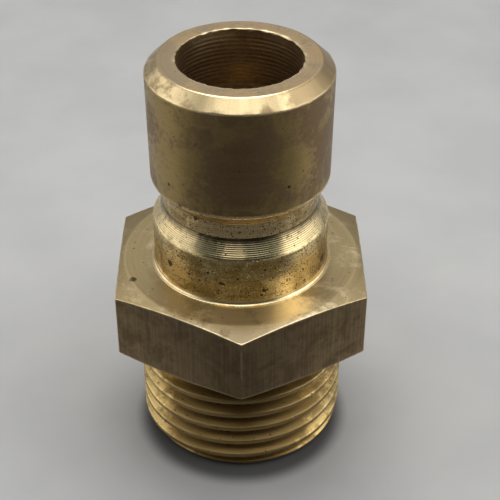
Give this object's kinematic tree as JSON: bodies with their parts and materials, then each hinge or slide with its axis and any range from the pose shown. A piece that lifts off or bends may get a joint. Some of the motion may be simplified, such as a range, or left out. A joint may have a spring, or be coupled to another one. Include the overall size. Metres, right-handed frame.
{
  "type": "quick disconnect coupler plug",
  "caption": "Brass quick disconnect plug with locking groove, hexagon, external pipe thread and a spring-loaded shut-off valve in its bore.",
  "frame": {"origin": "centre of the threaded end face, on the plug's axis", "axes": "+Z along the axis towards the nose's mouth; +X square to a wrench flat; two hexagon corners on the Y axis"},
  "size_m": [0.024, 0.0278, 0.0414],
  "materials": {
    "aged_brass": "turned, tarnished and mottled",
    "turned_brass": "fine turned",
    "spring_steel": "phosphated",
    "stainless": "drawn",
    "seal_rubber": "matt"
  },
  "bodies": {
    "plug": {"plug_body": "aged_brass", "stem_guide": "turned_brass", "retaining_ring": "spring_steel", "valve_spring": "stainless"},
    "valve": {"valve_poppet": "turned_brass", "valve_seal": "seal_rubber", "seal_retainer": "turned_brass", "valve_stem": "stainless"}
  },
  "joints": [
    {"name": "valve_slide", "type": "slide", "parent": "plug", "child": "valve", "axis": [0, 0, -1], "range_m": [0, 0.0042], "stiffness_N_per_m": 1200, "springref_m": -0.005, "deforming": ["valve_spring"]}
  ]
}
